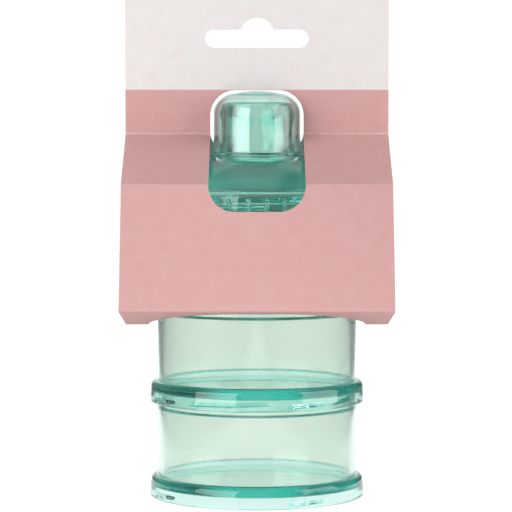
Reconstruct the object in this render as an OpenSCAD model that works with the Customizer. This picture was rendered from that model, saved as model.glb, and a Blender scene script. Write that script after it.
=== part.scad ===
// Stacking formula dispenser: three powder containers, a domed lid with a pouring spout,
// a screw cap, and the folded card sleeve that the tower is sold in.
// Millimetres, +Z up, origin on the tower's axis at the foot of the lowest container.
// The front of the object faces -Y.

/* [Containers] */
// Height that one container adds to the tower
tier_pitch = 30; // [24:0.5:45]
// Outside radius of a container at its shoulder
body_r = 31.7; // [24:0.1:45]
// How much the container's wall draws in towards its foot
wall_draft = 0.3; // [0:0.05:0.8]
// Wall thickness of a container
wall_t = 1.5; // [1:0.1:2.2]
// Thickness of a container's floor
floor_t = 1.2; // [0.8:0.1:2]
// Inside round between the floor and the wall
floor_round = 1.5; // [0.5:0.1:4]
// Thickness of the shoulder under the neck
shoulder_t = 1.2; // [0.8:0.1:2]

/* [Collar] */
// Height of the collar round the foot of each container
collar_h = 7; // [6.2:0.1:10]
// Thickness of the collar's wall
collar_t = 1.9; // [1.4:0.1:3]
// How much the collar's side draws in towards its top
collar_draft = 0.45; // [0:0.05:0.8]
// Round of the collar's top edge
collar_top_round = 2; // [1:0.1:2.4]
// Round of the collar's bottom edge
collar_foot_round = 0.6; // [0.2:0.1:1]
// Depth of the socket under the floor
socket_h = 3.7; // [3.2:0.1:4.5]

/* [Neck and thread] */
// Step in from the container's wall to its neck
neck_step = 0.8; // [0.5:0.1:1.5]
// Wall thickness of the neck
neck_t = 1.5; // [1:0.1:2]
// How far a thread ridge stands off the neck
thread_depth = 0.95; // [0.6:0.05:1.2]
// Width of a thread ridge at its foot
thread_w = 1.2; // [0.8:0.1:1.5]
// Width of a thread ridge at its crest
crest_w = 0.5; // [0.3:0.1:0.7]
// Rise of the thread in one full turn
thread_lead = 5.4; // [3:0.1:7]
// Number of ridges round the neck
thread_starts = 4; // [3, 4]
// Angle that each ridge spans
ridge_span = 50; // [30:1:55]
// Angle that each lug inside the collar spans
lug_span = 24; // [12:1:26]
// Direction of the first lug, from the front towards the right
lug_turn = 28; // [0:1:89]
// Radial clearance of a screwed joint
thread_clear = 0.3; // [0.25:0.05:0.5]
// Gap between two pieces where they seat
seat_gap = 0.1; // [0.05:0.05:0.3]

/* [Lid] */
// Wall thickness of the lid
lid_t = 1.6; // [1.2:0.1:2.2]
// How far the dome starts inside the container's wall
dome_inset = 0.5; // [0.2:0.1:1.5]
// Height of the dome above the lid's collar
dome_h = 11.3; // [9:0.1:16]
// Radius of the dome's curve
dome_curve_r = 24.4; // [22:0.1:34]
// Number of grip ribs round the lid
rib_count = 36; // [24:1:48]
// Radius of a grip rib
rib_r = 0.75; // [0.5:0.05:1]
// Height of a grip rib's tapered upper end
rib_tip_h = 0.8; // [0.4:0.1:1.5]

/* [Spout and cap] */
// Outside radius of the spout
spout_r = 11.3; // [9:0.1:13]
// Wall thickness of the spout
spout_t = 1.4; // [1:0.1:2]
// Height of the spout above its ledge
spout_h = 15.5; // [13:0.1:24]
// Height of the ledge that the cap seats on, above the dome
ledge_h = 0.6; // [0.4:0.1:1.2]
// How far the ledge reaches past the cap
ledge_out = 0.4; // [0.2:0.1:0.8]
// How far a thread ridge stands off the spout
spout_thread_depth = 0.85; // [0.5:0.05:1]
// Width of a spout thread ridge at its foot
spout_thread_w = 1.1; // [0.7:0.1:1.4]
// Rise of the spout's thread in one full turn
spout_lead = 4.2; // [3:0.1:5]
// Number of thread turns seen one above the other
spout_rows = 2; // [2, 3]
// How far the highest ridge reaches above the foot of the cap's inside round
spout_thread_over = 0.8; // [0:0.1:1]
// Angle that each spout ridge spans
spout_ridge_span = 130; // [100:1:136]
// Angle that each lug inside the cap spans
cap_lug_span = 26; // [12:1:30]
// Direction of the first cap lug, from the right towards the back
cap_lug_turn = 30; // [0:1:90]
// Wall thickness of the cap
cap_t = 1.3; // [1:0.05:1.8]
// Space between the middle of the spout's rim and the inside of the cap
rim_gap = 0.64; // [0.5:0.01:3]
// Round of the cap's top edge
cap_round = 6.5; // [4:0.1:8]
// Radius of the cap's gently domed crown
crown_r = 40; // [30:1:80]

/* [Card sleeve] */
// Width of the card
card_w = 83.4; // [70:0.1:110]
// Thickness of the card
card_t = 0.5; // [0.4:0.05:0.8]
// Clearance between the tower and the hole in the card's underside
card_clear = 0.4; // [0.35:0.05:1.5]
// Clearance between the lid's collar and the sleeve's top folds
fold_clear = 0.95; // [0.8:0.05:3]
// How far the dome stands out of the front window
dome_bulge = 0.465; // [0:0.005:1.2]
// Clearance between the dome and the back of the sleeve
back_clear = 0.6; // [0.5:0.05:3]
// Height of the header's fold above the cap's ledge
header_fold_rise = 5.9; // [4:0.1:12]
// How much further out the sleeve's bottom folds stand than its top folds
panel_flare = 5.3; // [4:0.1:12]
// Height of the bottom folds above the top container's foot
bottom_fold_rise = 1.3; // [0:0.1:4]
// Drop of the lowest crease below the top container's foot
crease_drop = 5.8; // [2:0.1:10]
// Height of the header above the cap's crown
header_rise = 29; // [24:0.1:50]
// Space between the cap and the window's side
window_gap = 1.05; // [0.8:0.05:4]
// Space between the cap's crown and the window's top
window_top_gap = 0.3; // [0.3:0.05:2]
// Drop of the front window's bottom below the front's top fold
window_drop = 8.2; // [5:0.1:14]
// Corner round of the window
window_round = 8; // [2:0.5:12]
// Height of the back window's bottom above the cap's ledge
back_window_rise = 0.4; // [0.3:0.05:2]
// Corner round of the back window's bottom
back_window_round = 6; // [2:0.5:7]
// Length of the hanging slot
slot_w = 32.8; // [20:0.1:40]
// Height of the hanging slot
slot_h = 5.8; // [5:0.1:8]
// Height of the slot's middle above the cap's crown
slot_rise = 16.6; // [12:0.1:20]
// Radius of the bump over the slot's middle
slot_bump_r = 5.4; // [4:0.1:7]
// How far the bump rises above the slot
slot_bump_rise = 3.8; // [2:0.1:5]

/* [Hidden] */
$fn = 96;
cut = 1;
tint = [0.60, 0.84, 0.76];
card_pink = [0.87, 0.68, 0.68];
root_sink = 0.25;
ridge_step = 5;
end_taper_steps = 2;
end_share = 0.1;

// Radii of the screwed joint between two tiers
neck_r = body_r - neck_step;
neck_bore_r = neck_r - neck_t;
thread_crest_r = neck_r + thread_depth;
socket_r = thread_crest_r + thread_clear;
collar_r = socket_r + collar_t;
lug_crest_r = neck_r + thread_clear;
foot_r = body_r - wall_draft;
floor_z = socket_h + floor_t;

// Heights of the tower
lid_z = 3 * tier_pitch;
collar_top_z = lid_z + collar_h;
ledge_z = collar_top_z + dome_h + ledge_h;
rim_z = ledge_z + spout_h;

// Radii of the spout and the cap
spout_crest_r = spout_r + spout_thread_depth;
cap_bore_r = spout_crest_r + thread_clear;
cap_r = cap_bore_r + cap_t;
ledge_r = cap_r + ledge_out;
dome_foot = [body_r - dome_inset, collar_h];
dome_centre = arc_centre(dome_foot, [ledge_r, collar_h + dome_h], dome_curve_r);
cap_corner_r = cap_bore_r - (cap_round - cap_t);
rim_middle_r = spout_r - spout_t / 2;
cap_corner_z = rim_z + rim_gap - sqrt(pow(cap_round - cap_t, 2) - pow(rim_middle_r - cap_corner_r, 2));
cap_top_z = cap_corner_z + crown_r - sqrt(pow(crown_r - cap_round, 2) - pow(cap_corner_r, 2));

// Height of the lowest row of the spout's thread
thread_top_z = cap_corner_z + spout_thread_over;
spout_thread_z = thread_top_z - crest_w / 2 - spout_lead * spout_ridge_span / 720
    - (spout_rows - 1) * spout_lead / 2;

// A ridge along a helix about Z: a trapezoid that runs out into the wall at both ends.
// root_w and tip_w are its widths at root_r and tip_r; mid_z is the height of its middle.
module ridge(root_r, root_w, tip_r, tip_w, lead, middle, span, mid_z) {
    steps = ceil(span / ridge_step);
    outward = tip_r > root_r;
    points = [
        for (i = [0:steps])
            let (
                a = middle + span * (i / steps - 0.5),
                z = mid_z + lead * (a - middle) / 360,
                full = max(end_share, min(1, min(i, steps - i) / end_taper_steps)),
                tip = root_r + (tip_r - root_r) * full,
                inner = outward ? [root_r, root_w] : [tip, tip_w],
                outer = outward ? [tip, tip_w] : [root_r, root_w]
            )
            for (p = [[inner.x, -inner.y], [outer.x, -outer.y], outer, inner])
                [p.x * cos(a), p.x * sin(a), z + p.y / 2]
    ];
    sides = [
        for (i = [0:steps - 1], j = [0:3])
            let (a = 4 * i + j, b = 4 * i + (j + 1) % 4)
            for (triangle = [[a, b, b + 4], [a, b + 4, a + 4]]) triangle
    ];
    last = 4 * steps;
    ends = [[3, 2, 1], [3, 1, 0], [last, last + 1, last + 2], [last, last + 2, last + 3]];
    polyhedron(points, concat(sides, ends));
}

// Half section of a collar's outside, from the axis out, with both edges rounded
module collar_section(r) {
    top_r = r - collar_draft;
    polygon([
        [0, 0],
        [r - collar_foot_round, 0],
        [r, collar_foot_round],
        [r, collar_h / 4],
        [top_r, collar_h - collar_top_round],
        [top_r - collar_top_round, collar_h],
        [0, collar_h]
    ]);
    translate([r - collar_foot_round, collar_foot_round]) circle(collar_foot_round);
    translate([top_r - collar_top_round, collar_h - collar_top_round]) circle(collar_top_round);
}

// Thread lugs inside the socket at the foot of a container or of the lid
module socket_lugs() {
    for (i = [0:thread_starts - 1])
        ridge(socket_r + root_sink, thread_w, lug_crest_r, crest_w, thread_lead,
              lug_turn - 90 + i * 360 / thread_starts, lug_span, socket_h / 2 - thread_w / 4);
}

// Half section of one container: collar, floor, drafted wall, shoulder and rounded neck
module container_section() {
    rim_top = tier_pitch + socket_h - seat_gap;
    shoulder_z = tier_pitch - seat_gap;
    bore_top_r = body_r - wall_t;
    bore_foot_r = foot_r - wall_t;
    difference() {
        union() {
            collar_section(collar_r);
            polygon([[0, floor_z], [foot_r, floor_z], [body_r, shoulder_z], [0, shoulder_z]]);
            square([neck_r, rim_top - neck_t / 2]);
            translate([neck_r - neck_t / 2, rim_top - neck_t / 2]) circle(neck_t / 2);
        }
        translate([0, -cut]) square([socket_r, socket_h + cut]);
        polygon([
            [0, floor_z],
            [bore_foot_r - floor_round, floor_z],
            [bore_foot_r, floor_z + floor_round],
            [bore_top_r, shoulder_z - shoulder_t - (bore_top_r - neck_bore_r)],
            [neck_bore_r, shoulder_z - shoulder_t],
            [neck_bore_r, rim_top - neck_t / 2],
            [neck_bore_r, rim_top + cut],
            [0, rim_top + cut]
        ]);
        translate([bore_foot_r - floor_round, floor_z + floor_round]) circle(floor_round);
    }
}

module container(tier) {
    male_turn = lug_turn - 90 + 180 / thread_starts;
    neck_middle = tier_pitch + (socket_h - seat_gap) / 2;
    color(tint) translate([0, 0, tier * tier_pitch]) {
        rotate_extrude() container_section();
        socket_lugs();
        for (i = [0:thread_starts - 1])
            ridge(neck_r - root_sink, thread_w, thread_crest_r, crest_w, thread_lead,
                  male_turn + i * 360 / thread_starts, ridge_span, neck_middle);
    }
}

// Lowest powder container, which the tower stands on
module container_bottom() {
    container(0);
}

// Second powder container
module container_middle() {
    container(1);
}

// Third powder container, whose neck takes the lid
module container_top() {
    container(2);
}

// Centre of the circle of radius r through a and b, on the side nearer the axis
function arc_centre(a, b, r) =
    let (m = (a + b) / 2, d = b - a, half = norm(d) / 2)
    m + [d.y, -d.x] / norm(d) * -sqrt(r * r - half * half);

// Half section of the lid: ribbed collar, domed funnel, ledge and open spout
module lid_section(collar_outer_r) {
    centre = dome_centre;
    inner_foot_r = centre.x + sqrt(pow(dome_curve_r - lid_t, 2) - pow(collar_h - centre.y, 2));
    spout_bore_r = spout_r - spout_t;
    ledge_top = ledge_z - lid_z;
    rim_top = rim_z - lid_z;
    difference() {
        union() {
            collar_section(collar_outer_r);
            intersection() {
                translate(centre) circle(dome_curve_r, $fn = 180);
                translate([0, collar_h - cut]) square([dome_foot.x, dome_h + cut]);
            }
            polygon([[0, collar_h], dome_foot, [centre.x, collar_h + dome_h], [0, collar_h + dome_h]]);
            translate([0, ledge_top - ledge_h - lid_t]) square([ledge_r, ledge_h + lid_t]);
            square([spout_r, rim_top - spout_t / 2]);
            translate([spout_r - spout_t / 2, rim_top - spout_t / 2]) circle(spout_t / 2);
        }
        translate([0, -cut]) square([socket_r, socket_h + cut]);
        translate([0, -cut]) square([inner_foot_r, collar_h + cut]);
        intersection() {
            translate(centre) circle(dome_curve_r - lid_t, $fn = 180);
            translate([0, collar_h - cut]) square([inner_foot_r, dome_h + cut]);
        }
        translate([0, -cut]) square([spout_bore_r, rim_top + 2 * cut]);
        polygon([[0, collar_h - cut], [inner_foot_r, collar_h - cut],
                 [centre.x, centre.y + dome_curve_r - lid_t], [0, centre.y + dome_curve_r - lid_t]]);
    }
}

// Grip ribs round the lid's collar, each with a tapered upper end
module grip_ribs(core_r) {
    rib_h = collar_h - collar_top_round - collar_foot_round;
    for (i = [0:rib_count - 1])
        rotate((i + 0.5) * 360 / rib_count) translate([core_r, 0, collar_foot_round]) {
            cylinder(r = rib_r, h = rib_h - rib_tip_h, $fn = 24);
            translate([0, 0, rib_h - rib_tip_h])
                cylinder(r1 = rib_r, r2 = rib_r / 4, h = rib_tip_h, $fn = 24);
        }
}

// Domed lid with grip ribs on its collar and a threaded spout
module lid() {
    core_r = collar_r - rib_r;
    color(tint) {
        translate([0, 0, lid_z]) {
            rotate_extrude() lid_section(core_r);
            grip_ribs(core_r);
            socket_lugs();
        }
        for (side = [0, 1], row = [0:spout_rows - 1])
            ridge(spout_r - root_sink, spout_thread_w, spout_crest_r, crest_w, spout_lead,
                  cap_lug_turn - 90 + side * 180, spout_ridge_span, spout_thread_z + row * spout_lead / 2);
    }
}

// Half section of a round-topped plug: the cap's outside, or the space inside it
module round_top_section(r, top, corner_r, crown_curve_r) {
    corner_x = r - corner_r;
    crown_z = top - crown_curve_r;
    corner_z = crown_z + sqrt(pow(crown_curve_r - corner_r, 2) - corner_x * corner_x);
    crown_x = corner_x * crown_curve_r / (crown_curve_r - corner_r);
    square([r, corner_z]);
    translate([corner_x, corner_z]) circle(corner_r);
    intersection() {
        translate([0, crown_z]) circle(crown_curve_r, $fn = 180);
        translate([0, corner_z - cut]) square([crown_x, top - corner_z + cut]);
    }
}

// Screw cap over the spout
module cap() {
    foot_z = ledge_z + seat_gap;
    height = cap_top_z - foot_z;
    color(tint) {
        translate([0, 0, foot_z]) rotate_extrude() difference() {
            intersection() {
                round_top_section(cap_r, height, cap_round, crown_r);
                square([cap_r, height]);
            }
            round_top_section(cap_bore_r, height - cap_t, cap_round - cap_t, crown_r - cap_t);
            translate([0, -cut]) square([cap_bore_r, 2 * cut]);
        }
        for (side = [0, 1])
            ridge(cap_bore_r + root_sink, spout_thread_w, spout_r + thread_clear, crest_w, spout_lead,
                  cap_lug_turn + side * 180, cap_lug_span, spout_thread_z + spout_lead / 4);
    }
}

// The corners of a closed counterclockwise outline, moved inwards by t
function inset(points, t) = [
    for (i = [0:len(points) - 1])
        let (
            before = points[(i + len(points) - 1) % len(points)],
            after = points[(i + 1) % len(points)],
            u = (points[i] - before) / norm(points[i] - before),
            v = (after - points[i]) / norm(after - points[i]),
            n = [-u.y, u.x],
            m = [-v.y, v.x]
        )
        points[i] + t * (n + m) / (1 + n * m)
];

// Height at a distance out, of a slope that falls from top on the axis and touches a circle
function slope_height(centre, r, top, out) =
    let (way = centre - [0, top])
    top + out * tan(atan2(way.y, way.x) + asin(r / norm(way)));

// A rectangle with round corners, given by its half width, its bottom and its top
module round_window(half_w, low, high, r) {
    translate([-half_w, low + r]) square([2 * half_w, high - low - 2 * r]);
    translate([r - half_w, low]) square([2 * (half_w - r), high - low]);
    for (x = [r - half_w, half_w - r], y = [low + r, high - r])
        translate([x, y]) circle(r);
}

// The slot that the card hangs from: round ends and a bump over the middle
module hanging_slot() {
    end_r = slot_h / 2;
    straight = slot_w - slot_h;
    square([straight, slot_h], center = true);
    for (x = [-straight / 2, straight / 2])
        translate([x, 0]) circle(end_r);
    intersection() {
        translate([0, end_r + slot_bump_rise - slot_bump_r]) circle(slot_bump_r);
        translate([-slot_bump_r, 0]) square([2 * slot_bump_r, end_r + slot_bump_rise]);
    }
}

// The sleeve's window: all of it in front, and down to the cap's foot behind
module sleeve_window(low, behind) {
    half_w = cap_r + window_gap;
    high = cap_top_z + window_top_gap;
    intersection() {
        round_window(half_w, low, high, window_round);
        if (behind)
            round_window(half_w, ledge_z + back_window_rise, high + back_window_round, back_window_round);
    }
}

// Folded card sleeve: a flat header of two plies over a box round the top container and lid
module card_sleeve() {
    header_fold = [0, ledge_z + header_fold_rise];
    fold_out = collar_r + fold_clear + card_t;
    dome_middle = [dome_centre.x, lid_z + dome_centre.y];
    front_fold_z = slope_height(dome_middle, dome_curve_r - dome_bulge, header_fold.y, fold_out);
    back_fold_z = slope_height(dome_middle, dome_curve_r + back_clear + card_t, header_fold.y, fold_out);
    bottom_fold = [fold_out + panel_flare, 2 * tier_pitch + bottom_fold_rise];
    crease = [0, 2 * tier_pitch - crease_drop];
    loop = [crease, bottom_fold, [fold_out, back_fold_z], header_fold, [-fold_out, front_fold_z],
            [-bottom_fold.x, bottom_fold.y]];
    header_h = cap_top_z + header_rise - header_fold.y;
    depth = bottom_fold.x + cut;
    window_low = front_fold_z - window_drop;
    color(card_pink) difference() {
        rotate([90, 0, 90]) linear_extrude(card_w, center = true) {
            difference() {
                polygon(loop);
                polygon(inset(loop, card_t));
            }
            translate([-card_t, header_fold.y - card_t]) square([2 * card_t, header_h + card_t]);
        }
        rotate([90, 0, 0]) {
            linear_extrude(depth) sleeve_window(window_low, false);
            translate([0, 0, -depth]) linear_extrude(depth + card_t / 2) sleeve_window(window_low, true);
            translate([0, cap_top_z + slot_rise]) linear_extrude(4 * card_t, center = true) hanging_slot();
        }
        rotate(45) translate([0, 0, crease.y - cut])
            cylinder(r = collar_r + card_clear, h = bottom_fold.y - crease.y + 2 * cut);
    }
}

container_bottom();
container_middle();
container_top();
lid();
cap();
card_sleeve();
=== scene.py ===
import math

import bmesh
import bpy
import numpy as np
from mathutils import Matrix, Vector


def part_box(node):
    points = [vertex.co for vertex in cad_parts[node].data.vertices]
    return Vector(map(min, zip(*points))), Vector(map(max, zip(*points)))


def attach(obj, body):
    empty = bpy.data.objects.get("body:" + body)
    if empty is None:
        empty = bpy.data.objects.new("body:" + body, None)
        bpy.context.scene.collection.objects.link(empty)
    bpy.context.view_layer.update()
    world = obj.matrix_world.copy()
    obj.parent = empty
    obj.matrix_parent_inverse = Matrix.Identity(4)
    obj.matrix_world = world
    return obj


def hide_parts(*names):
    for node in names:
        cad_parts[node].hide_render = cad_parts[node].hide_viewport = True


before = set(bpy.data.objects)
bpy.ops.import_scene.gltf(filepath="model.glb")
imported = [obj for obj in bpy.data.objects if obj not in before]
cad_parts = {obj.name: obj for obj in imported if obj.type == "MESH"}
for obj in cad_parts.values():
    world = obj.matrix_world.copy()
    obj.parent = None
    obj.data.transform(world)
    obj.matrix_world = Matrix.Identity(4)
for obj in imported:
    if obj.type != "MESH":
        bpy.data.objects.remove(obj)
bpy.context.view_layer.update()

# ---------------------------------------------------------------------------------------------
# Powder containers: three equal cups of clear, sea-green polypropylene, injection moulded.
# Each one's collar screws down over the thread on the neck of the one below.
# ---------------------------------------------------------------------------------------------
mm = 0.001
container_bottom_low, container_bottom_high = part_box("container_bottom")
tier_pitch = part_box("container_middle")[0].z - container_bottom_low.z
collar_r = container_bottom_high.x
rim_top = container_bottom_high.z
collar_h = 7 * mm
collar_t = 1.9 * mm
collar_draft = 0.45 * mm
collar_top_round = 2 * mm
collar_foot_round = 0.6 * mm
socket_r = collar_r - collar_t
socket_h = 3.7 * mm
floor_t = 1.2 * mm
floor_round = 1.5 * mm
wall_t = 1.5 * mm
wall_draft = 0.3 * mm
shoulder_r = 31.7 * mm
shoulder_t = 1.2 * mm
shoulder_z = 29.9 * mm
neck_r = 30.9 * mm
neck_t = 1.5 * mm
rim_round = 0.49 * neck_t
collar_side_round = 4 * mm
edge_break = 0.15 * mm
thread_depth = 0.95 * mm
thread_foot_w = 1.2 * mm
thread_crest_w = 0.5 * mm
thread_lead = 5.4 * mm
thread_starts = 4
thread_run_out = 10
neck_thread_z = 31.8 * mm
neck_thread_turn = -17
neck_thread_span = 50
lug_z = 1.55 * mm
lug_turn = -62
lug_span = 24
thread_step = 0.14 * mm
wall_step = 3 * mm
steps_round = 288
moulded_sharp_degrees = 40


def same(size, other):
    """Whether two sizes are equal to a hundredth of a millimetre, so on the same wall."""
    return abs(size - other) < 0.01 * mm


def rounded(corners, ends_open=True, per_turn=96):
    """Points of a line through corners (a, b, radius), with an arc of that radius at each one."""
    points = []
    count = len(corners)
    for i, (a, b, radius) in enumerate(corners):
        here = np.array([a, b])
        if radius == 0 or (ends_open and i in (0, count - 1)):
            points.append(here)
            continue
        into = here - np.array(corners[i - 1][:2])
        out_of = np.array(corners[(i + 1) % count][:2]) - here
        into /= np.linalg.norm(into)
        out_of /= np.linalg.norm(out_of)
        bend = math.acos(np.clip(into @ out_of, -1, 1))
        side = math.copysign(1, into[0] * out_of[1] - into[1] * out_of[0])
        start = here - into * radius * math.tan(bend / 2)
        centre = start + side * radius * np.array([-into[1], into[0]])
        arm = start - centre
        steps = max(2, round(per_turn * bend / (2 * math.pi)))
        for k in range(steps + 1):
            turn = side * bend * k / steps
            cos, sin = math.cos(turn), math.sin(turn)
            points.append(centre + [arm[0] * cos - arm[1] * sin, arm[0] * sin + arm[1] * cos])
    return points


def divided(points, step_at):
    """The same line, each stretch cut into steps no longer than step_at(the stretch's middle)."""
    line = [points[0]]
    for start, end in zip(points, points[1:]):
        pieces = max(1, math.ceil(np.linalg.norm(end - start) / step_at((start + end) / 2)))
        line += [start + (end - start) * (k + 1) / pieces for k in range(pieces)]
    return line


def turned(name, outline, steps, radius_at, body, node):
    """A closed piece turned about Z from its outline; radius_at(degrees, r, z) shapes a ring."""
    angles = np.arange(steps) * 2 * math.pi / steps
    mesh = bmesh.new()
    rings = []
    for r, z in outline:
        if same(r, 0):
            rings.append([mesh.verts.new((0, 0, z))])
            continue
        radii = radius_at(np.degrees(angles), r, z)
        rings.append([
            mesh.verts.new((radius * math.cos(a), radius * math.sin(a), z))
            for radius, a in zip(radii, angles)
        ])
    whole = len(rings[0]) > 1
    for lower, upper in zip(rings, rings[1:] + rings[:1] if whole else rings[1:]):
        for k in range(steps):
            after = (k + 1) % steps
            if len(lower) == 1:
                mesh.faces.new((lower[0], upper[k], upper[after]))
            elif len(upper) == 1:
                mesh.faces.new((lower[k], upper[0], lower[after]))
            else:
                mesh.faces.new((lower[k], upper[k], upper[after], lower[after]))
    bmesh.ops.recalc_face_normals(mesh, faces=mesh.faces)
    data = bpy.data.meshes.new(name)
    mesh.to_mesh(data)
    mesh.free()
    return finished(name, data, moulded_sharp_degrees, body, node)


def finished(name, data, sharp_degrees, body, node):
    """A shaded piece that rides on its body and stands for its CAD node."""
    data.shade_smooth()
    data.set_sharp_from_angle(angle=math.radians(sharp_degrees))
    piece = bpy.data.objects.new(name, data)
    bpy.context.scene.collection.objects.link(piece)
    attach(piece, body)
    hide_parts(node)
    return piece


def ridge_height(degrees, z, depth, foot_w, lead, middle, span, middle_z):
    """How far a helical ridge stands off its wall at each angle, running out at both ends."""
    off = (degrees - middle + 180) % 360 - 180
    full = np.clip((span / 2 - abs(off)) / thread_run_out, 0, 1)
    beside = abs(z - middle_z - lead * off / 360)
    share = np.clip((foot_w / 2 - beside) / (foot_w / 2 - thread_crest_w / 2), 0, 1)
    return depth * full * share


def tier_thread(degrees, z, middle, span, middle_z):
    """The ridges, or the lugs, of the joint between two tiers."""
    return sum(
        ridge_height(degrees, z, thread_depth, thread_foot_w, thread_lead,
                     middle + k * 360 / thread_starts, span, middle_z)
        for k in range(thread_starts)
    )


def container_outline():
    """Half outline of a container from the middle of its underside to the middle of its floor."""
    floor_z = socket_h + floor_t
    collar_top_r = collar_r - collar_draft
    foot_r = shoulder_r - wall_draft
    bore_r = neck_r - neck_t
    bore_foot_r = foot_r - wall_t
    bore_top_r = shoulder_r - wall_t
    under_z = shoulder_z - shoulder_t
    corners = [
        (0, socket_h, 0),
        (socket_r, socket_h, 2 * edge_break),
        (socket_r, 0, edge_break),
        (collar_r, 0, collar_foot_round),
        (collar_r, collar_h / 4, collar_side_round),
        (collar_top_r, collar_h, collar_top_round),
        (foot_r, collar_h, edge_break),
        (shoulder_r, shoulder_z, 2 * edge_break),
        (neck_r, shoulder_z, edge_break),
        (neck_r, rim_top, rim_round),
        (bore_r, rim_top, rim_round),
        (bore_r, under_z, 2 * edge_break),
        (bore_top_r, under_z - (bore_top_r - bore_r), 2 * edge_break),
        (bore_foot_r, floor_z, floor_round),
        (0, floor_z, 0),
    ]

    def step_at(middle):
        on_neck = same(middle[0], neck_r) and middle[1] > shoulder_z
        return thread_step if on_neck or same(middle[0], socket_r) else wall_step

    return divided(rounded(corners), step_at)


def container_radius(foot_z):
    """The rings of a container that stands at foot_z: ridges on its neck, lugs in its socket."""
    def radius_at(degrees, r, z):
        radii = np.full(len(degrees), r)
        height = z - foot_z
        if same(r, neck_r):
            radii += tier_thread(degrees, height, neck_thread_turn, neck_thread_span, neck_thread_z)
        if same(r, socket_r):
            radii -= tier_thread(degrees, height, lug_turn, lug_span, lug_z)
        return radii

    return radius_at


def node_group(name, inputs, outputs):
    """An empty shader group with named sockets, and the functions that fill it."""
    group = bpy.data.node_groups.new(name, "ShaderNodeTree")
    for socket, kind, value in inputs:
        made = group.interface.new_socket(socket, in_out="INPUT", socket_type=f"NodeSocket{kind}")
        made.default_value = value
    for socket, kind in outputs:
        group.interface.new_socket(socket, in_out="OUTPUT", socket_type=f"NodeSocket{kind}")
    return group, group.nodes.new("NodeGroupInput"), group.nodes.new("NodeGroupOutput")


def add_node(tree, kind, links=(), **settings):
    """A node with its settings. links is [(its input, what goes in: a socket or a plain value)]."""
    node = tree.nodes.new(f"ShaderNode{kind}")
    for key, value in settings.items():
        setattr(node, key, value)
    for socket, source in links:
        if isinstance(source, bpy.types.NodeSocket):
            tree.links.new(source, node.inputs[socket])
        else:
            node.inputs[socket].default_value = source
    return node


def moulded_surface_group():
    """Moulded clear plastic: slow flow waves, fine haze, handling scratches, a hint of cloud."""
    flow_per_m, haze_per_m = 110, 420
    scratch_per_m = (60, 900, 900)
    scratch_tilt = (0.3, 0.9, 0.4)
    haze_depth = 0.0006 * mm
    group, given, out = node_group(
        "moulded_surface",
        [("Tint", "Color", (1, 1, 1, 1)), ("Cloud tint", "Color", (0.9, 0.9, 0.9, 1)),
         ("Gloss", "Float", 0.03), ("Haze", "Float", 0.1), ("Flow depth", "Float", 0.02),
         ("Scratches", "Float", 0.3)],
        [("Color", "Color"), ("Roughness", "Float"), ("Normal", "Vector")],
    )
    place = add_node(group, "TexCoord").outputs["Object"]
    stretched = add_node(group, "Mapping", [("Vector", place), ("Scale", (1, 1, 0.35))])
    flow = add_node(group, "TexNoise", [("Vector", stretched.outputs[0]), ("Scale", flow_per_m),
                                        ("Detail", 2), ("Roughness", 0.4)])
    haze = add_node(group, "TexNoise", [("Vector", place), ("Scale", haze_per_m), ("Detail", 5)])
    across = add_node(group, "Mapping", [("Vector", place), ("Rotation", scratch_tilt),
                                         ("Scale", scratch_per_m)])
    marks = add_node(group, "TexNoise", [("Vector", across.outputs[0]), ("Scale", 1),
                                         ("Detail", 1)])
    scratch = add_node(group, "MapRange", [("Value", marks.outputs["Fac"]), ("From Min", 0.70),
                                           ("From Max", 0.78)])
    cloud = add_node(group, "MapRange", [("Value", flow.outputs["Fac"]), ("From Min", 0.35),
                                         ("From Max", 0.7)])
    colour = add_node(group, "Mix", [("Factor", cloud.outputs[0]), (6, given.outputs["Tint"]),
                                     (7, given.outputs["Cloud tint"])], data_type="RGBA")
    hazed = add_node(group, "MapRange", [("Value", haze.outputs["Fac"]), ("From Min", 0.35),
                                         ("From Max", 0.75), ("To Min", given.outputs["Gloss"]),
                                         ("To Max", given.outputs["Haze"])])
    marked = add_node(group, "Math", [(0, scratch.outputs[0]), (1, given.outputs["Scratches"])],
                      operation="MULTIPLY")
    marked = add_node(group, "Math", [(0, marked.outputs[0]), (1, given.outputs["Haze"])],
                      operation="MULTIPLY")
    rough = add_node(group, "Math", [(0, hazed.outputs[0]), (1, marked.outputs[0])],
                     operation="ADD")
    depth = add_node(group, "Math", [(0, given.outputs["Flow depth"]), (1, mm)],
                     operation="MULTIPLY")
    waves = add_node(group, "Bump", [("Height", flow.outputs["Fac"]),
                                     ("Distance", depth.outputs[0])])
    fine = add_node(group, "Bump", [("Height", haze.outputs["Fac"]), ("Distance", haze_depth),
                                    ("Normal", waves.outputs[0])])
    group.links.new(colour.outputs[2], out.inputs["Color"])
    group.links.new(rough.outputs[0], out.inputs["Roughness"])
    group.links.new(fine.outputs[0], out.inputs["Normal"])
    return group


moulded_surface = moulded_surface_group()


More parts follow.
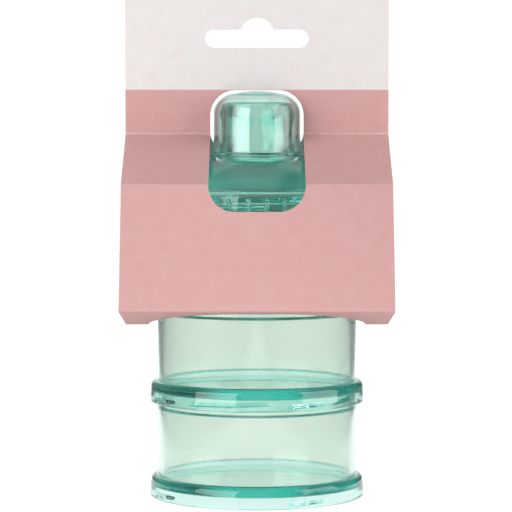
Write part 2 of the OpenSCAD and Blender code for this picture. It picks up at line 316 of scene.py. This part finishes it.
def painted_thickness_shade_group():
    """Painted shade for thick plastic: a deeper colour between two heights and two radii, every
    Period up.
    """
    group, given, out = node_group(
        "painted_thickness_shade",
        [("Plain", "Color", (1, 1, 1, 1)), ("Deep", "Color", (0.5, 0.5, 0.5, 1)),
         ("Low", "Float", 0), ("High", "Float", 0.01), ("Least radius", "Float", -1),
         ("Most radius", "Float", 1), ("Period", "Float", 1), ("Softness", "Float", 0.5 * mm)],
        [("Color", "Color")],
    )
    place = add_node(group, "TexCoord").outputs["Object"]
    up = add_node(group, "SeparateXYZ", [("Vector", place)]).outputs["Z"]
    height = add_node(group, "Math", [(0, up), (1, given.outputs["Period"])],
                      operation="MODULO").outputs[0]
    level = add_node(group, "VectorMath", [(0, place), (1, (1, 1, 0))], operation="MULTIPLY")
    radius = add_node(group, "VectorMath", [(0, level.outputs[0])],
                      operation="LENGTH").outputs["Value"]
    share = 1
    for value, limit, inwards in ((height, "Low", "ADD"), (height, "High", "SUBTRACT"),
                                  (radius, "Least radius", "ADD"),
                                  (radius, "Most radius", "SUBTRACT")):
        full = add_node(group, "Math", [(0, given.outputs[limit]),
                                        (1, given.outputs["Softness"])], operation=inwards)
        within = add_node(group, "MapRange", [("Value", value),
                                              ("From Min", given.outputs[limit]),
                                              ("From Max", full.outputs[0])])
        share = add_node(group, "Math", [(0, share), (1, within.outputs[0])],
                         operation="MULTIPLY").outputs[0]
    colour = add_node(group, "Mix", [("Factor", share), (6, given.outputs["Plain"]),
                                     (7, given.outputs["Deep"])], data_type="RGBA")
    group.links.new(colour.outputs[2], out.inputs["Color"])
    return group


painted_thickness_shade = painted_thickness_shade_group()


def place_group(tree, group, values):
    """A group's node in a material, with its own values."""
    node = tree.nodes.new("ShaderNodeGroup")
    node.node_tree = group
    for socket, value in values.items():
        node.inputs[socket].default_value = value
    return node


def clear_plastic(name, surface_values, painted_thickness_shades, deep_colour, density):
    """Sea-green clear plastic that deepens with the length of the light's way through it, with
    painted shade bands.
    """
    material = bpy.data.materials.new(name)
    material.use_nodes = True
    tree = material.node_tree
    tree.nodes.clear()
    surface = place_group(tree, moulded_surface, surface_values)
    colour = surface.outputs["Color"]
    # Each band paints a deeper shade over the surface colour.
    for values in painted_thickness_shades:
        shade_band = place_group(tree, painted_thickness_shade, values)
        tree.links.new(colour, shade_band.inputs["Plain"])
        colour = shade_band.outputs["Color"]
    shader = add_node(tree, "BsdfPrincipled", [
        ("Base Color", colour), ("Roughness", surface.outputs["Roughness"]),
        ("Normal", surface.outputs["Normal"]), ("IOR", 1.49), ("Transmission Weight", 1)])
    depths = add_node(tree, "VolumeAbsorption", [("Color", deep_colour), ("Density", density)])
    out = tree.nodes.new("ShaderNodeOutputMaterial")
    tree.links.new(shader.outputs[0], out.inputs["Surface"])
    tree.links.new(depths.outputs[0], out.inputs["Volume"])
    return material


# Painted shade: deeper tints on each collar and on the neck's thread ridges, darker than the
# plastic's own colour.
collar_painted_shade = {"Deep": (0.71, 0.89, 0.85, 1), "Low": -0.5 * mm, "High": collar_h,
               "Period": tier_pitch}
neck_thread_painted_shade = {"Deep": (0.25, 0.8, 0.74, 1), "Low": 0.8 * mm, "High": 2.9 * mm,
                    "Least radius": neck_r + 0.2 * mm, "Most radius": socket_r - 0.05 * mm,
                    "Period": tier_pitch, "Softness": 0.05 * mm}
container_plastic = clear_plastic(
    "container_plastic",
    {"Tint": (0.795, 0.845, 0.785, 1), "Cloud tint": (0.78, 0.835, 0.77, 1), "Gloss": 0.02,
     "Haze": 0.09, "Flow depth": 0.018, "Scratches": 0.6},
    [collar_painted_shade, neck_thread_painted_shade], deep_colour=(0.2, 0.82, 0.76, 1), density=50)
for tier, node in enumerate(("container_bottom", "container_middle", "container_top")):
    foot = tier * tier_pitch
    container = turned(node + "_cup", [(r, z + foot) for r, z in container_outline()],
                       steps_round, container_radius(foot), node, node)
    container.data.materials.append(container_plastic)

# ---------------------------------------------------------------------------------------------
# Lid: one clear moulding with a ribbed screw collar, a domed funnel and a threaded spout.
# It screws onto the top container's neck, and powder pours out through the spout.
# ---------------------------------------------------------------------------------------------
lid_low, lid_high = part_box("lid")
rib_count = 36
rib_r = 0.75 * mm
rib_tip_h = 0.8 * mm
rib_foot_h = 0.3 * mm
rib_foot_z = collar_foot_round - 0.2 * mm
rib_tip_z = collar_h - collar_top_round
lid_core_r = collar_r - rib_r
lid_t = 1.6 * mm
dome_foot_r = 31.2 * mm
dome_foot_z = lid_low.z + collar_h
dome_top_z = dome_foot_z + 11.3 * mm
dome_curve_r = 24.4 * mm
ledge_r = 14.15 * mm
ledge_z = dome_top_z + 0.6 * mm
spout_r = 11.3 * mm
spout_t = 1.4 * mm
spout_rim_z = lid_high.z
spout_rim_round = 0.49 * spout_t
spout_thread_depth = 0.85 * mm
spout_thread_w = 1.1 * mm
spout_lead = 4.2 * mm
spout_thread_span = 130
spout_thread_turn = -60
spout_thread_z = 118.755 * mm
spout_thread_low = 117.2 * mm
spout_thread_high = 122.6 * mm
rib_step = 0.22 * mm
lid_step = 2.5 * mm


def circle_centre(start, end, radius):
    """Centre of the circle through two points, on the side nearer the axis and lower down."""
    middle, way = (start + end) / 2, end - start
    half = np.linalg.norm(way) / 2
    across = np.array([way[1], -way[0]]) / (2 * half)
    return middle - across * math.sqrt(radius**2 - half**2)


def circle_points(centre, radius, start, end, steps):
    """Points of the circle from the angle of start to the angle of end."""
    first, last = (math.atan2(p[1] - centre[1], p[0] - centre[0]) for p in (start, end))
    return [
        centre + radius * np.array([math.cos(a), math.sin(a)])
        for a in np.linspace(first, last, steps + 1)
    ]


def lid_outline():
    """Half outline of the lid, round from the inside of its bore and back."""
    dome_foot = np.array([dome_foot_r, dome_foot_z])
    dome_top = np.array([ledge_r, dome_top_z])
    centre = circle_centre(dome_foot, dome_top, dome_curve_r)
    inner_r = dome_curve_r - lid_t
    bore_r = centre[0] + math.sqrt(inner_r**2 - (dome_foot_z - centre[1]) ** 2)
    spout_bore_r = spout_r - spout_t
    shelf_z = lid_low.z + socket_h
    outside = rounded([
        (bore_r, shelf_z, 0),
        (socket_r, shelf_z, 2 * edge_break),
        (socket_r, lid_low.z, edge_break),
        (lid_core_r, lid_low.z, collar_foot_round),
        (lid_core_r, lid_low.z + collar_h / 4, collar_side_round),
        (lid_core_r - collar_draft, dome_foot_z, collar_top_round),
        (dome_foot_r, dome_foot_z, 0),
    ])
    dome = circle_points(centre, dome_curve_r, dome_foot, dome_top, 40)
    spout = rounded([
        (ledge_r, dome_top_z, 0),
        (ledge_r, ledge_z, edge_break),
        (spout_r, ledge_z, 2 * edge_break),
        (spout_r, spout_rim_z, spout_rim_round),
        (spout_bore_r, spout_rim_z, spout_rim_round),
        (spout_bore_r, centre[1] + inner_r, edge_break),
        (centre[0], centre[1] + inner_r, 0),
    ])
    inner_top = np.array([centre[0], centre[1] + inner_r])
    funnel = circle_points(centre, inner_r, inner_top, np.array([bore_r, dome_foot_z]), 36)
    line = outside[:-1] + dome + spout[1:-1] + funnel

    def step_at(middle):
        r, z = middle
        on_ribs = r > lid_core_r - collar_draft and z < dome_foot_z - 1 * mm
        if same(r, socket_r):
            return thread_step
        return rib_step if on_ribs else lid_step

    return divided(line, step_at)


def lid_radius(degrees, r, z):
    """Ribs on the collar, lugs in its socket, and thread on the spout.

    The spout's rings stand lid_step apart, so only two of them catch its thread: it comes out as
    broad swellings and not as a fine ridge.
    """
    radii = np.full(len(degrees), r)
    height = z - lid_low.z
    if r > lid_core_r - 0.9 * collar_draft and rib_foot_z < height < rib_tip_z:
        pitch = 360 / rib_count
        off = np.radians(degrees % pitch - pitch / 2)
        taper = np.clip((rib_tip_z - height) / rib_tip_h, 0, 1)
        start = np.clip((height - rib_foot_z) / rib_foot_h, 0, 1)
        size = rib_r * (0.25 + 0.75 * taper) * start
        reach = size**2 - (lid_core_r * np.sin(off)) ** 2
        rib = lid_core_r * np.cos(off) + np.sqrt(np.maximum(reach, 0))
        radii = np.where(reach > 0, np.maximum(radii, rib), radii)
    if same(r, socket_r):
        radii -= tier_thread(degrees, height, lug_turn, lug_span, lug_z)
    if same(r, spout_r):
        for side in (0, 180):
            for row_z in (spout_thread_z, spout_thread_z + spout_lead / 2):
                radii += ridge_height(degrees, z, spout_thread_depth, spout_thread_w, spout_lead,
                                      spout_thread_turn + side, spout_thread_span, row_z)
    return radii


# Painted shade: deeper tints on the ribbed collar, the dome and the spout's thread, darker than the
# plastic's own colour.
lid_collar_painted_shade = {"Deep": (0.62, 0.96, 0.92, 1), "Low": lid_low.z, "High": dome_foot_z}
dome_painted_shade = {"Deep": (0.58, 1, 0.94, 1), "Low": dome_foot_z - 0.5 * mm, "High": dome_top_z}
spout_thread_painted_shade = {"Deep": (0.5, 0.84, 0.79, 1), "Low": spout_thread_low,
                     "High": spout_thread_high, "Least radius": spout_r + 0.2 * mm,
                     "Softness": 0.05 * mm}
lid_plastic = clear_plastic(
    "lid_plastic",
    {"Tint": (0.81, 0.885, 0.86, 1), "Cloud tint": (0.79, 0.88, 0.845, 1), "Gloss": 0.015,
     "Haze": 0.07, "Flow depth": 0.03, "Scratches": 0.8},
    [lid_collar_painted_shade, dome_painted_shade, spout_thread_painted_shade], deep_colour=(0.1, 0.84, 0.79, 1), density=55)
lid = turned("domed_lid", lid_outline(), 20 * rib_count, lid_radius, "lid", "lid")
lid.data.materials.append(lid_plastic)

# ---------------------------------------------------------------------------------------------
# Screw cap: a thin clear moulding with a full round top edge and a gently domed crown, whose
# foot seats on the lid's ledge. The two lugs inside it, which catch the thread on the spout,
# don't come out in this mesh.
# ---------------------------------------------------------------------------------------------
cap_low, cap_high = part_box("cap")
cap_r = cap_high.x
cap_t = 1.3 * mm
cap_round = 6.5 * mm
crown_r = 40 * mm
cap_bore_r = cap_r - cap_t
cap_lug_turn = 30
cap_lug_span = 26
cap_lug_z = 119.8 * mm
cap_lug_reach = 2 * mm
cap_step = 2 * mm


def cap_shell(radius, top, corner, curve, foot_z):
    """Half outline of a round-topped plug, from its foot up over the round edge to the middle."""
    corner_x = radius - corner
    curve_z = top - curve
    corner_z = curve_z + math.sqrt((curve - corner) ** 2 - corner_x**2)
    lean = math.asin(corner_x / (curve - corner))
    points = [np.array([radius, foot_z])]
    for a in np.linspace(0, math.pi / 2 - lean, 25):
        points.append(np.array([corner_x + corner * math.cos(a), corner_z + corner * math.sin(a)]))
    for a in np.linspace(lean, 0, 13)[1:]:
        points.append(np.array([curve * math.sin(a), curve_z + curve * math.cos(a)]))
    return points


def cap_outline():
    """Half outline of the cap, from the middle of its inside down, round its foot and up again."""
    outside = cap_shell(cap_r, cap_high.z, cap_round, crown_r, cap_low.z + 2 * edge_break)
    inside = cap_shell(cap_bore_r, cap_high.z - cap_t, cap_round - cap_t, crown_r - cap_t,
                       cap_low.z + 2 * edge_break)
    foot = rounded([
        (cap_bore_r, cap_low.z + 2 * edge_break, 0),
        (cap_bore_r, cap_low.z, edge_break),
        (cap_r, cap_low.z, 2 * edge_break),
        (cap_r, cap_low.z + 3 * edge_break, 0),
    ])
    line = inside[::-1] + foot[1:-1] + outside[1:]

    # This is asked once for the whole straight bore, whose middle is below the lugs.
    def step_at(middle):
        near_lug = same(middle[0], cap_bore_r) and abs(middle[1] - cap_lug_z) < cap_lug_reach
        return thread_step if near_lug else cap_step

    return divided(line, step_at)


def cap_radius(degrees, r, z):
    """Two lugs inside the cap. Its rings stand too far apart there, so no ring catches them."""
    radii = np.full(len(degrees), r)
    if same(r, cap_bore_r):
        for side in (0, 180):
            radii -= ridge_height(degrees, z, spout_thread_depth, spout_thread_w, spout_lead,
                                  cap_lug_turn + side, cap_lug_span, cap_lug_z)
    return radii


cap_plastic = clear_plastic(
    "cap_plastic",
    {"Tint": (0.83, 0.91, 0.87, 1), "Cloud tint": (0.815, 0.905, 0.855, 1), "Gloss": 0.02,
     "Haze": 0.1, "Flow depth": 0.02, "Scratches": 1},
    [], deep_colour=(0.05, 0.82, 0.76, 1), density=75)
cap = turned("screw_cap", cap_outline(), steps_round, cap_radius, "cap", "cap")
cap.data.materials.append(cap_plastic)

# ---------------------------------------------------------------------------------------------
# Card sleeve: one strip of half-millimetre board, printed white and pink on the outside only.
# It is creased, folded round the tower and joined as a two-ply header with a hanging slot.
# ---------------------------------------------------------------------------------------------
card_low, card_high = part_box("card_sleeve")
card_half_w = card_high.x
board_t = 0.48 * mm
ply_gap = 0.03 * mm
header_fold = np.array([0, 114.8 * mm])
front_fold = np.array([-35.5 * mm, 99.4 * mm])
back_fold = np.array([35.5 * mm, 102.48 * mm])
bottom_fold = np.array([card_high.y, 61.3 * mm])
crease = np.array([0, card_low.z])
fold_round = 0.7 * mm
side_bow = 8.6 * mm
window_half_w = 14.8 * mm
window_low = 91.2 * mm
window_high = cap_high.z + 0.3 * mm
window_round = 8 * mm
back_window_low = 109.3 * mm
back_window_round = 6 * mm
underside_hole_r = 34.45 * mm
slot_z = 144.96 * mm
slot_half_w = 16.4 * mm
slot_half_h = 2.9 * mm
slot_bump_r = 5.4 * mm
slot_bump_rise = 3.8 * mm
white_from_z = 128.8 * mm
board_step = 2 * mm
board_columns = 42
creased_sharp_degrees = 35


def moved_in(before, here, after, distance):
    """A corner of an outline moved inwards, to the left of its way round."""
    u = (here - before) / np.linalg.norm(here - before)
    v = (after - here) / np.linalg.norm(after - here)
    n, m = np.array([-u[1], u[0]]), np.array([-v[1], v[0]])
    return here + distance * (n + m) / (1 + n @ m)


def sleeve_line():
    """The middle line of the folded board, from the top of the back ply round to the front ply."""
    front_bottom = bottom_fold * [-1, 1]
    loop = [crease, bottom_fold, back_fold, header_fold, front_fold, front_bottom]
    low, back_low, back, top, front, front_low = (
        moved_in(loop[i - 1], loop[i], loop[(i + 1) % 6], board_t / 2) for i in range(6))
    ply = (board_t + ply_gap) / 2
    corners = []
    for y, fold in ((ply, back), (-ply, front)):
        meeting = fold + (top - fold) * (fold[0] - y) / fold[0]
        corners.append([(y, card_high.z, 0), (*meeting, fold_round), (*fold, fold_round)])
    corners = (corners[0] + [(*back_low, fold_round), (*low, fold_round), (*front_low, fold_round)]
               + corners[1][::-1])
    return divided(rounded(corners, per_turn=60), lambda middle: board_step)


def sleeve_strip():
    """The folded board as a closed sheet, with its outside, its inside and its cut edges."""
    line = np.array(sleeve_line())
    way = np.gradient(line, axis=0)
    way /= np.linalg.norm(way, axis=1)[:, None]
    outward = np.stack([way[:, 1], -way[:, 0]], axis=1)
    if outward[1] @ [1, 0] < 0:
        outward = -outward
    across = np.linspace(-card_half_w, card_half_w, board_columns + 1)
    mesh = bmesh.new()
    sheets = [
        [[mesh.verts.new((x, *p)) for x in across] for p in line + outward * shift]
        for shift in (board_t / 2, -board_t / 2)
    ]
    for finish, rows in enumerate(sheets):
        for near, far in zip(rows, rows[1:]):
            for k in range(board_columns):
                face = mesh.faces.new((near[k], near[k + 1], far[k + 1], far[k]))
                face.material_index = finish
    outer, inner = sheets
    rims = [([row[0] for row in outer], [row[0] for row in inner]),
            ([row[-1] for row in outer], [row[-1] for row in inner]),
            (outer[0], inner[0]), (outer[-1], inner[-1])]
    for one, other in rims:
        for k in range(len(one) - 1):
            mesh.faces.new((one[k], one[k + 1], other[k + 1], other[k])).material_index = 2
    bmesh.ops.recalc_face_normals(mesh, faces=mesh.faces)
    data = bpy.data.meshes.new("sleeve_strip")
    mesh.to_mesh(data)
    mesh.free()
    return data


def cutter(name, outline, low, high, upright):
    """A prism that cuts the board: upright along Z, or lying along Y."""
    mesh = bmesh.new()
    ends = [
        [mesh.verts.new((a, b, level) if upright else (a, level, b)) for a, b in outline]
        for level in (low, high)
    ]
    for end in ends:
        mesh.faces.new(end)
    for k in range(len(outline)):
        after = (k + 1) % len(outline)
        mesh.faces.new((ends[0][k], ends[0][after], ends[1][after], ends[1][k]))
    for face in mesh.faces:
        face.material_index = 2
    bmesh.ops.recalc_face_normals(mesh, faces=mesh.faces)
    data = bpy.data.meshes.new(name)
    mesh.to_mesh(data)
    mesh.free()
    return bpy.data.objects.new(name, data)


def slot_outline():
    """Round-ended hanging slot with a round bump over its middle."""
    bump_z = slot_z + slot_half_h + slot_bump_rise - slot_bump_r
    end_x = slot_half_w - slot_half_h
    points = []
    for a in np.linspace(-math.pi / 2, math.pi / 2, 25):
        points.append((end_x + slot_half_h * math.cos(a), slot_z + slot_half_h * math.sin(a)))
    lift = math.asin((slot_z + slot_half_h - bump_z) / slot_bump_r)
    for a in np.linspace(lift, math.pi - lift, 25):
        points.append((slot_bump_r * math.cos(a), bump_z + slot_bump_r * math.sin(a)))
    for a in np.linspace(math.pi / 2, math.pi * 3 / 2, 25)[:-1]:
        points.append((slot_half_h * math.cos(a) - end_x, slot_z + slot_half_h * math.sin(a)))
    points.append((-end_x, slot_z - slot_half_h))
    return points


def cut_board(data):
    """The board with its windows, hanging slot and underside hole punched out."""
    board = bpy.data.objects.new("board", data)
    bpy.context.scene.collection.objects.link(board)
    front_window, back_window = (
        rounded([(-window_half_w, low, low_round), (window_half_w, low, low_round),
                 (window_half_w, window_high, window_round),
                 (-window_half_w, window_high, window_round)], ends_open=False)
        for low, low_round in ((window_low, window_round), (back_window_low, back_window_round)))
    hole = [(underside_hole_r * math.cos(a), underside_hole_r * math.sin(a))
            for a in np.linspace(0, 2 * math.pi, 181)[:-1]]
    reach = 50 * mm
    tools = [
        cutter("front_window_tool", front_window, -reach, 0, False),
        cutter("back_window_tool", back_window, 0, reach, False),
        cutter("slot_tool", slot_outline(), -reach, reach, False),
        cutter("hole_tool", hole, crease[1] - 2 * mm, bottom_fold[1] + 1 * mm, True),
    ]
    for finish in (printed_board, bare_board, cut_edge):
        for part in (board, *tools):
            part.data.materials.append(finish)
    for tool in tools:
        bpy.context.scene.collection.objects.link(tool)
        punch = board.modifiers.new(tool.name, "BOOLEAN")
        punch.operation = "DIFFERENCE"
        punch.solver = "EXACT"
        punch.object = tool
    bpy.context.view_layer.update()
    shaped = board.evaluated_get(bpy.context.evaluated_depsgraph_get())
    cut = bpy.data.meshes.new_from_object(shaped)
    for tool in (board, *tools):
        bpy.data.objects.remove(tool)
    return cut


def bow(data):
    """Curves the front and back panels, so that their folds fall back towards the sides."""
    places = np.empty(len(data.vertices) * 3)
    data.vertices.foreach_get("co", places)
    places = places.reshape(-1, 3)
    x, y, z = places.T
    fold_z = np.where(y > 0, back_fold[1], front_fold[1])
    depth_share = np.minimum((z - bottom_fold[1]) / (fold_z - bottom_fold[1]),
                             (header_fold[1] - z) / (header_fold[1] - fold_z)).clip(0, 1)
    on_header = abs(y) < 1 * mm
    depth_share[on_header] = 0
    pull = side_bow * depth_share * (x / card_half_w) ** 2
    places[:, 1] -= np.sign(y) * pull
    data.vertices.foreach_set("co", places.ravel())
    data.update()


def board_fibre_group():
    """Board: fine fibres, soft mottling of the ink and a slightly uneven surface."""
    fibre_per_m, mottle_per_m, unevenness_per_m = 2600, 260, 45
    unevenness_depth = 0.05 * mm
    group, given, out = node_group(
        "board_fibre",
        [("Ink", "Color", (1, 1, 1, 1)), ("Fibre", "Color", (0.8, 0.8, 0.8, 1)),
         ("Fibre share", "Float", 0.1), ("Roughness", "Float", 0.5), ("Depth", "Float", 0.01)],
        [("Color", "Color"), ("Roughness", "Float"), ("Normal", "Vector")],
    )
    place = add_node(group, "TexCoord").outputs["Object"]
    laid = add_node(group, "Mapping", [("Vector", place), ("Scale", (0.5, 1, 1))])
    fibre = add_node(group, "TexNoise", [("Vector", laid.outputs[0]), ("Scale", fibre_per_m),
                                         ("Detail", 3), ("Roughness", 0.6)])
    mottle = add_node(group, "TexNoise", [("Vector", place), ("Scale", mottle_per_m),
                                          ("Detail", 3)])
    unevenness = add_node(group, "TexNoise", [("Vector", place), ("Scale", unevenness_per_m),
                                              ("Detail", 2)])
    spots = add_node(group, "MapRange", [("Value", fibre.outputs["Fac"]), ("From Min", 0.45),
                                         ("From Max", 0.75), ("To Min", 0),
                                         ("To Max", given.outputs["Fibre share"])])
    cloudy = add_node(group, "MapRange", [("Value", mottle.outputs["Fac"]), ("From Min", 0.3),
                                          ("From Max", 0.7), ("To Min", 0),
                                          ("To Max", given.outputs["Fibre share"])])
    share = add_node(group, "Math", [(0, spots.outputs[0]), (1, cloudy.outputs[0])],
                     operation="ADD")
    colour = add_node(group, "Mix", [("Factor", share.outputs[0]), (6, given.outputs["Ink"]),
                                     (7, given.outputs["Fibre"])], data_type="RGBA")
    uneven = add_node(group, "MapRange", [("Value", mottle.outputs["Fac"]), ("From Min", 0.3),
                                          ("From Max", 0.7), ("To Min", -0.06),
                                          ("To Max", 0.06)])
    rough = add_node(group, "Math", [(0, uneven.outputs[0]), (1, given.outputs["Roughness"])],
                     operation="ADD")
    depth = add_node(group, "Math", [(0, given.outputs["Depth"]), (1, mm)],
                     operation="MULTIPLY")
    soft = add_node(group, "Bump", [("Height", unevenness.outputs["Fac"]),
                                    ("Distance", unevenness_depth)])
    grain = add_node(group, "Bump", [("Height", fibre.outputs["Fac"]),
                                     ("Distance", depth.outputs[0]),
                                     ("Normal", soft.outputs[0])])
    group.links.new(colour.outputs[2], out.inputs["Color"])
    group.links.new(rough.outputs[0], out.inputs["Roughness"])
    group.links.new(grain.outputs[0], out.inputs["Normal"])
    return group


board_fibre = board_fibre_group()


def fold_wear_group():
    """A broken line of rubbed ink where Value comes within Width of At."""
    rub_per_m = 700
    group, given, out = node_group(
        "fold_wear",
        [("Value", "Float", 0), ("At", "Float", 0), ("Width", "Float", 0.0003),
         ("Strength", "Float", 0.5)],
        [("Mask", "Float")],
    )
    place = add_node(group, "TexCoord").outputs["Object"]
    noise = add_node(group, "TexNoise", [("Vector", place), ("Scale", rub_per_m), ("Detail", 4)])
    broken = add_node(group, "MapRange", [("Value", noise.outputs["Fac"]), ("From Min", 0.35),
                                          ("From Max", 0.65)])
    off = add_node(group, "Math", [(0, given.outputs["Value"]), (1, given.outputs["At"])],
                   operation="SUBTRACT")
    off = add_node(group, "Math", [(0, off.outputs[0])], operation="ABSOLUTE")
    near = add_node(group, "MapRange", [("Value", off.outputs[0]), ("From Min", 0),
                                        ("From Max", given.outputs["Width"]), ("To Min", 1),
                                        ("To Max", 0)])
    mask = add_node(group, "Math", [(0, near.outputs[0]), (1, broken.outputs[0])],
                    operation="MULTIPLY")
    mask = add_node(group, "Math", [(0, mask.outputs[0]), (1, given.outputs["Strength"])],
                    operation="MULTIPLY")
    group.links.new(mask.outputs[0], out.inputs["Mask"])
    return group


fold_wear = fold_wear_group()


def printed_colour(tree, pink, white):
    """Pink ink below a level and white above it, rubbed along the folds and the cut sides."""
    rubbed = (0.8, 0.76, 0.74, 1)
    place = add_node(tree, "TexCoord").outputs["Object"]
    axes = add_node(tree, "SeparateXYZ", [("Vector", place)])
    outward = add_node(tree, "Math", [(0, axes.outputs["Y"])], operation="ABSOLUTE").outputs[0]
    sideways = add_node(tree, "Math", [(0, axes.outputs["X"])], operation="ABSOLUTE").outputs[0]
    above = add_node(tree, "Math", [(0, axes.outputs["Z"]), (1, white_from_z)],
                     operation="GREATER_THAN")
    colour = add_node(tree, "Mix", [("Factor", above.outputs[0]), (6, pink), (7, white)],
                      data_type="RGBA")
    for value, at, width, strength in (
        (axes.outputs["Z"], header_fold[1] + 0.2 * mm, 0.35 * mm, 0.6),
        (axes.outputs["Z"], front_fold[1] - 0.1 * mm, 0.3 * mm, 0.2),
        (outward, bottom_fold[0], 0.35 * mm, 0.12),
        (sideways, card_half_w, 0.25 * mm, 0.8),
    ):
        wear = place_group(tree, fold_wear, {"At": at, "Width": width, "Strength": strength})
        tree.links.new(value, wear.inputs["Value"])
        colour = add_node(tree, "Mix", [("Factor", wear.outputs["Mask"]),
                                        (6, colour.outputs[2]), (7, rubbed)], data_type="RGBA")
    return colour.outputs[2]


def matt_material(name, ink, fibre, fibre_share, roughness, depth):
    """Matt board or paint, with fibres, mottling and a slightly uneven surface."""
    material = bpy.data.materials.new(name)
    material.use_nodes = True
    tree = material.node_tree
    tree.nodes.clear()
    surface = place_group(tree, board_fibre, {
        "Ink": ink, "Fibre": fibre, "Fibre share": fibre_share, "Roughness": roughness,
        "Depth": depth})
    shader = add_node(tree, "BsdfPrincipled", [
        ("Base Color", surface.outputs["Color"]), ("Roughness", surface.outputs["Roughness"]),
        ("Normal", surface.outputs["Normal"]), ("Specular IOR Level", 0.15)])
    out = tree.nodes.new("ShaderNodeOutputMaterial")
    tree.links.new(shader.outputs[0], out.inputs["Surface"])
    return material, surface, shader


pink_ink = (0.575, 0.318, 0.308, 1)
white_ink = (0.72, 0.705, 0.695, 1)
printed_board, printed_surface, _ = matt_material(
    "printed_board", pink_ink, fibre=(0.66, 0.46, 0.44, 1), fibre_share=0.16, roughness=0.72,
    depth=0.004)
printed_board.node_tree.links.new(printed_colour(printed_board.node_tree, pink_ink, white_ink),
                                  printed_surface.inputs["Ink"])
bare_board, _, _ = matt_material(
    "bare_board", (0.9, 0.89, 0.87, 1), fibre=(0.78, 0.76, 0.73, 1), fibre_share=0.3,
    roughness=0.75, depth=0.012)
cut_edge, _, _ = matt_material(
    "cut_edge", (0.7, 0.66, 0.63, 1), fibre=(0.5, 0.45, 0.42, 1), fibre_share=0.4,
    roughness=0.85, depth=0.02)
sleeve_mesh = cut_board(sleeve_strip())
bow(sleeve_mesh)
finished("folded_sleeve", sleeve_mesh, creased_sharp_degrees, "card_sleeve", "card_sleeve")

# ---------------------------------------------------------------------------------------------
# Studio: a plain pale floor that glows under and behind the piece, even white light from all
# round that fades to the sides, so that clear plastic gets darker edges, and a soft box to each
# side in front. The camera looks from the front, a little downwards.
# ---------------------------------------------------------------------------------------------
floor_half = 30.0
floor_glow = 0.94
glow_half_w = 0.088
glow_spread = 0.115
glow_fade = 0.07
glow_beyond = 0.12
floor_mesh = bpy.data.meshes.new("studio_floor")
floor_mesh.from_pydata([(-floor_half, -floor_half, 0), (floor_half, -floor_half, 0),
                        (floor_half, floor_half, 0), (-floor_half, floor_half, 0)],
                       [], [(0, 1, 2, 3)])
studio_floor = bpy.data.objects.new("studio_floor", floor_mesh)
studio_floor.location.z = -0.05 * mm
bpy.context.scene.collection.objects.link(studio_floor)
floor_paint, _, floor_shader = matt_material(
    "floor_paint", (0.35, 0.35, 0.35, 1), fibre=(0.3, 0.3, 0.3, 1), fibre_share=0.1,
    roughness=0.7, depth=0.01)
floor_shader.inputs["Emission Strength"].default_value = floor_glow
paint = floor_paint.node_tree
floor_place = add_node(paint, "TexCoord").outputs["Object"]
floor_axes = add_node(paint, "SeparateXYZ", [("Vector", floor_place)])
aside = add_node(paint, "Math", [(0, floor_axes.outputs["X"])], operation="ABSOLUTE")
lit_half_w = add_node(paint, "Math", [(0, floor_axes.outputs["Y"]), (1, glow_spread),
                                      (2, glow_half_w)], operation="MULTIPLY_ADD")
beyond = add_node(paint, "Math", [(0, aside.outputs[0]), (1, lit_half_w.outputs[0])],
                  operation="SUBTRACT")
glow = add_node(paint, "MapRange", [("Value", beyond.outputs[0]), ("From Min", 0),
                                    ("From Max", glow_fade), ("To Min", 1),
                                    ("To Max", glow_beyond)], interpolation_type="SMOOTHSTEP")
paint.links.new(glow.outputs[0], floor_shader.inputs["Emission Color"])
studio_floor.data.materials.append(floor_paint)

world = bpy.data.worlds.new("studio_light")
bpy.context.scene.world = world
world.use_nodes = True
backdrop = world.node_tree
way_out = add_node(backdrop, "TexCoord").outputs["Generated"]
towards = add_node(backdrop, "SeparateXYZ", [("Vector", way_out)])
brightness = 1.09
for axis, fade_from, fade_to, faded in (
    ("X", -0.14, -0.4, 0.3),
    ("X", 0.14, 0.4, 0.08),
    ("Y", 0, -0.6, 0.62),
    ("Z", 0.25, 0.8, 0.85),
):
    fade = add_node(backdrop, "MapRange", [("Value", towards.outputs[axis]),
                                           ("From Min", fade_from), ("From Max", fade_to),
                                           ("To Min", 1), ("To Max", faded)],
                    interpolation_type="SMOOTHSTEP")
    brightness = add_node(backdrop, "Math", [(0, brightness), (1, fade.outputs[0])],
                          operation="MULTIPLY").outputs[0]
backdrop.nodes["Background"].inputs["Color"].default_value = (1, 1, 1, 1)
backdrop.links.new(brightness, backdrop.nodes["Background"].inputs["Strength"])


def soft_box(name, stand, width, height, radiance):
    """A rectangular lamp of even brightness, turned to the middle of the piece."""
    lamp = bpy.data.lights.new(name, "AREA")
    lamp.shape = "RECTANGLE"
    lamp.size, lamp.size_y = width, height
    lamp.energy = radiance * math.pi * width * height
    box = bpy.data.objects.new(name, lamp)
    box.location = stand
    middle = Vector((0, 0, 0.08))
    box.rotation_euler = (middle - Vector(stand)).to_track_quat("-Z", "Y").to_euler()
    bpy.context.scene.collection.objects.link(box)


soft_box("key_box", (-0.67, -0.67, 0.36), width=0.88, height=0.72, radiance=4.15)
soft_box("fill_box", (0.857, -0.278, 0.36), width=0.84, height=0.72, radiance=3.4)

camera_data = bpy.data.cameras.new("camera")
camera_data.lens = 160.7
camera_data.sensor_width = 36
camera_data.clip_start = 0.01
camera = bpy.data.objects.new("camera", camera_data)
camera.location = (-0.0003, -0.726, 0.1129)
camera.rotation_euler = (math.radians(90 - 2.905), 0, 0)
bpy.context.scene.collection.objects.link(camera)
bpy.context.scene.camera = camera
bpy.context.scene.view_settings.view_transform = "Standard"
# Light is led a long way round inside the clear walls, so it is followed through many bounces.
bpy.context.scene.cycles.max_bounces = 96
bpy.context.scene.cycles.transmission_bounces = 96
bpy.context.scene.cycles.glossy_bounces = 32

bpy.context.view_layer.update()
